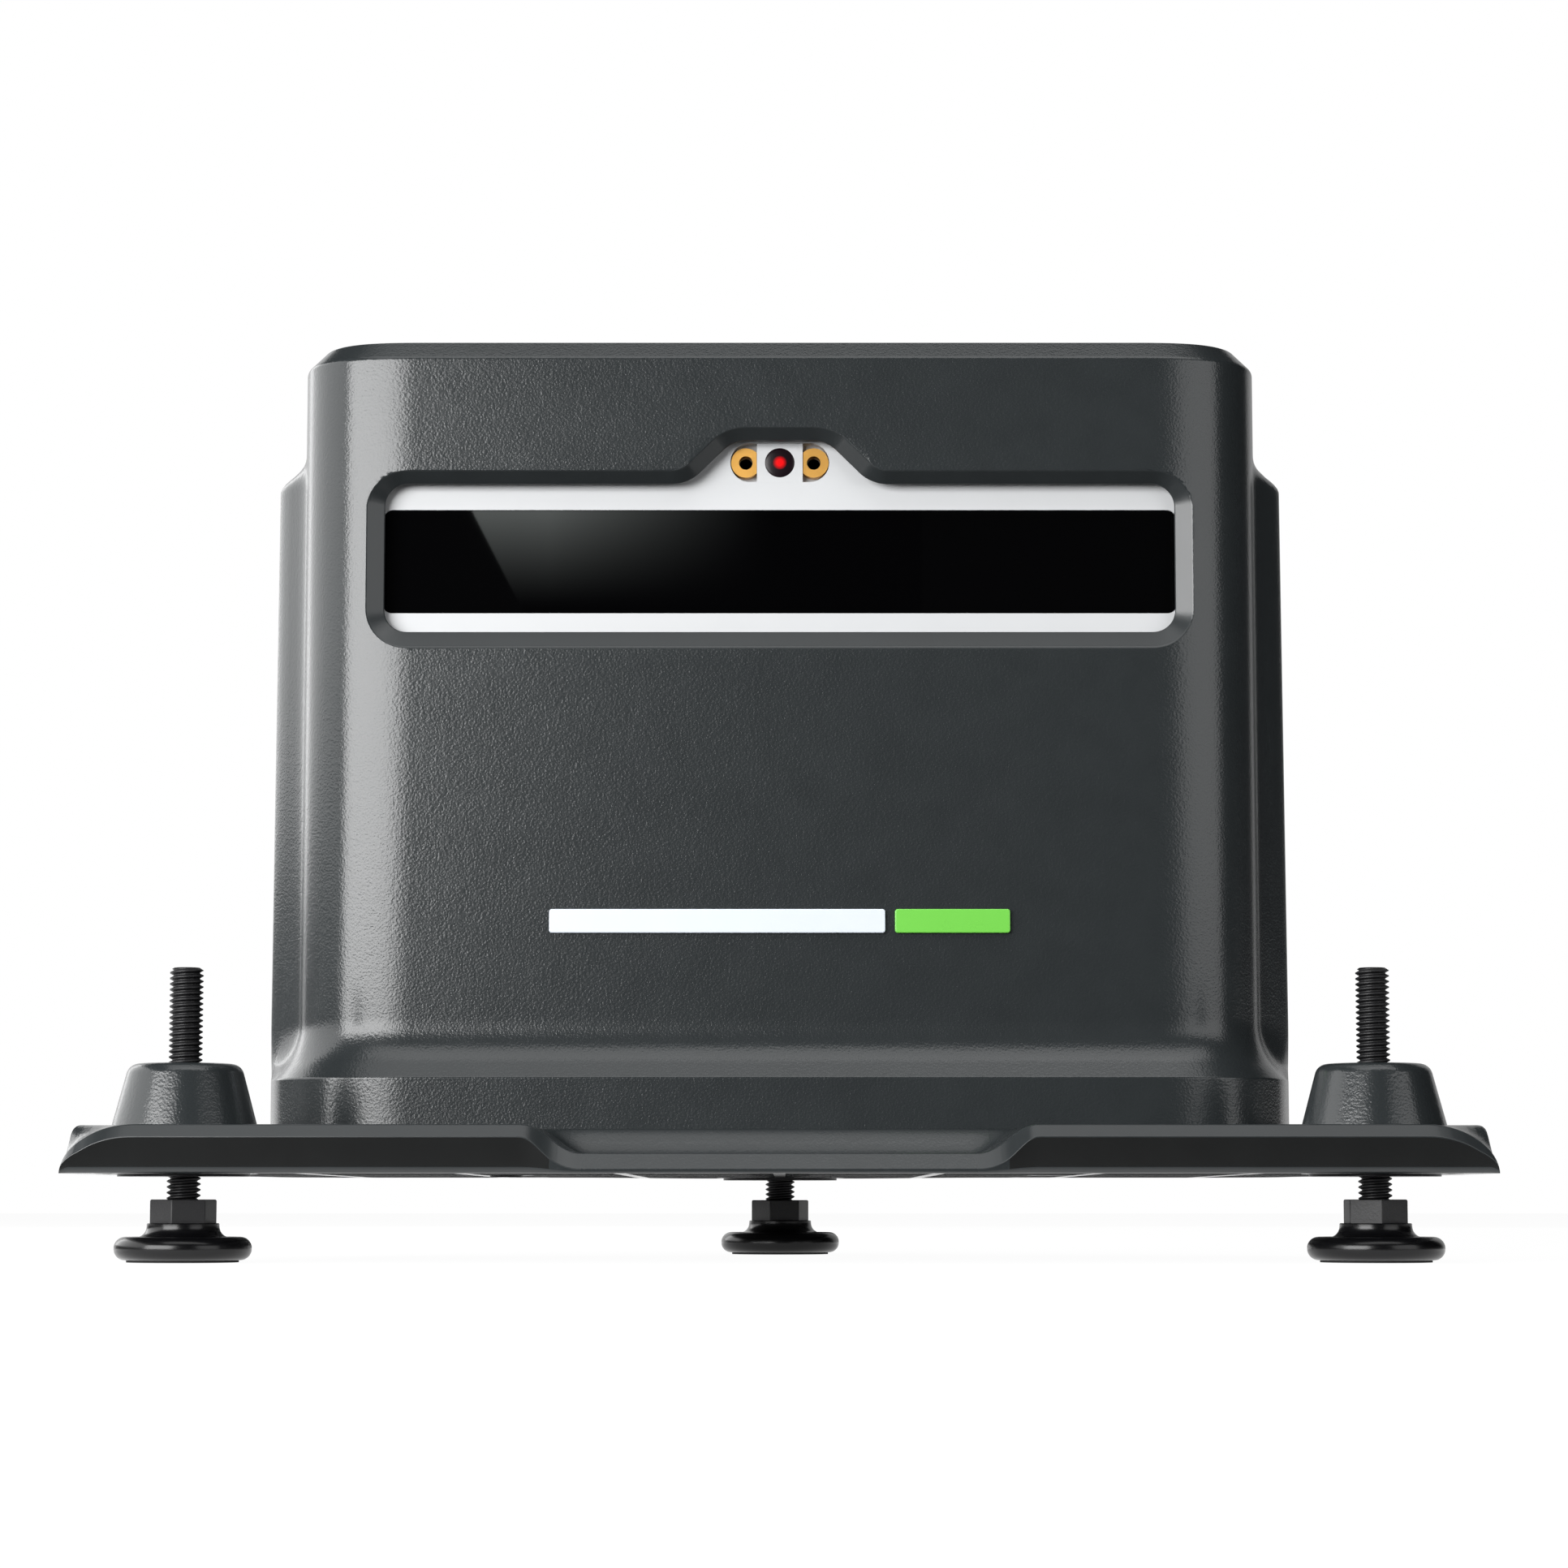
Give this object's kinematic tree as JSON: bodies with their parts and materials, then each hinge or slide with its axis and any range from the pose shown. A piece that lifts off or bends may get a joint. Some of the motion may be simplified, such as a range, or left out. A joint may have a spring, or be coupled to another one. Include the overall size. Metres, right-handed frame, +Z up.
{
  "type": "golf launch monitor",
  "caption": "Camera-based golf launch monitor inside a moulded protective cover on a wide base plate that stands on screw-adjusted levelling feet.",
  "frame": {"origin": "on the floor plane, under the middle of the overall width and depth", "axes": "+X to the right seen from the front, +Y to the back, +Z up; the window faces -Y"},
  "size_m": [0.2502, 0.1512, 0.1741],
  "materials": {
    "charcoal_moulding": "fine moulded grain",
    "black_steel": "black oxide",
    "badge_grey": "smooth",
    "badge_green": "smooth",
    "foam": "open foam",
    "white_shell": "satin",
    "dark_window": "polished",
    "gasket_rubber": "matt",
    "pointer_glow": "polished, lit red at its centre",
    "brass": "turned",
    "black_aluminium": "black anodised",
    "lens_glass": "coated",
    "aluminium": "bead blasted",
    "circuit_board": "solder resist",
    "led_resin": "clear resin",
    "tinned_steel": "tinned",
    "battery_wrap": "shrink wrap",
    "black_moulding": "fine grain",
    "clear_pipe": "clear",
    "ribbon": "smooth film",
    "foot_nylon": "satin nylon",
    "sole_rubber": "matt"
  },
  "bodies": {
    "base": {"base_plate": "charcoal_moulding", "cover": "charcoal_moulding", "thread_inserts": "black_steel", "cover_screws": "black_steel", "badge_bar": "badge_grey", "badge_accent": "badge_green", "foam_bottom": "foam", "foam_top": "foam", "foam_left": "foam", "foam_right": "foam", "foam_rear": "foam", "foam_front": "foam", "front_housing": "white_shell", "rear_housing": "white_shell", "window": "dark_window", "window_gasket": "gasket_rubber", "pointer_block": "white_shell", "pointer_lens": "pointer_glow", "pointer_sleeves": "brass", "pointer_module": "brass", "camera_barrels": "black_aluminium", "camera_lenses": "lens_glass", "camera_bracket": "aluminium", "flash_board": "circuit_board", "flash_leds": "led_resin", "main_board": "circuit_board", "shield_can": "tinned_steel", "battery_pack": "battery_wrap", "battery_tray": "black_moulding", "io_board": "circuit_board", "usb_port": "tinned_steel", "switch_board": "black_moulding", "light_pipe": "clear_pipe", "antenna_board": "circuit_board", "ribbon_cable": "ribbon", "housing_screws": "tinned_steel"},
    "left_sole": {"sole_left": "sole_rubber"},
    "left_foot": {"foot_left": "foot_nylon"},
    "right_sole": {"sole_right": "sole_rubber"},
    "right_foot": {"foot_right": "foot_nylon"},
    "rear_sole": {"sole_rear": "sole_rubber"},
    "rear_foot": {"foot_rear": "foot_nylon"},
    "power_button": {"power_button": "black_moulding"}
  },
  "joints": [
    {"name": "left_foot_lift", "type": "slide", "parent": "base", "child": "left_sole", "axis": [0, 0, 1], "range_m": [-0.016, 0.0035]},
    {"name": "left_foot_turn", "type": "hinge", "parent": "left_sole", "child": "left_foot", "pos_m": [-0.10575, -0.05913, 0], "axis": [0, 0, 1], "range_deg": [-5760, 1260]},
    {"name": "right_foot_lift", "type": "slide", "parent": "base", "child": "right_sole", "axis": [0, 0, 1], "range_m": [-0.016, 0.0035]},
    {"name": "right_foot_turn", "type": "hinge", "parent": "right_sole", "child": "right_foot", "pos_m": [0.10575, -0.05913, 0], "axis": [0, 0, 1], "range_deg": [-5760, 1260]},
    {"name": "rear_foot_lift", "type": "slide", "parent": "base", "child": "rear_sole", "axis": [0, 0, 1], "range_m": [-0.016, 0.0035]},
    {"name": "rear_foot_turn", "type": "hinge", "parent": "rear_sole", "child": "rear_foot", "pos_m": [0, 0.0603, 0], "axis": [0, 0, 1], "range_deg": [-5760, 1260]},
    {"name": "power_press", "type": "slide", "parent": "base", "child": "power_button", "axis": [0, -1, 0], "range_m": [0, 0.0007], "stiffness_N_per_m": 300, "springref_m": -0.001}
  ],
  "couplings": [
    {"joint": "left_foot_turn", "follows": "left_foot_lift", "rad_per_m": 6283.2},
    {"joint": "right_foot_turn", "follows": "right_foot_lift", "rad_per_m": 6283.2},
    {"joint": "rear_foot_turn", "follows": "rear_foot_lift", "rad_per_m": 6283.2}
  ]
}
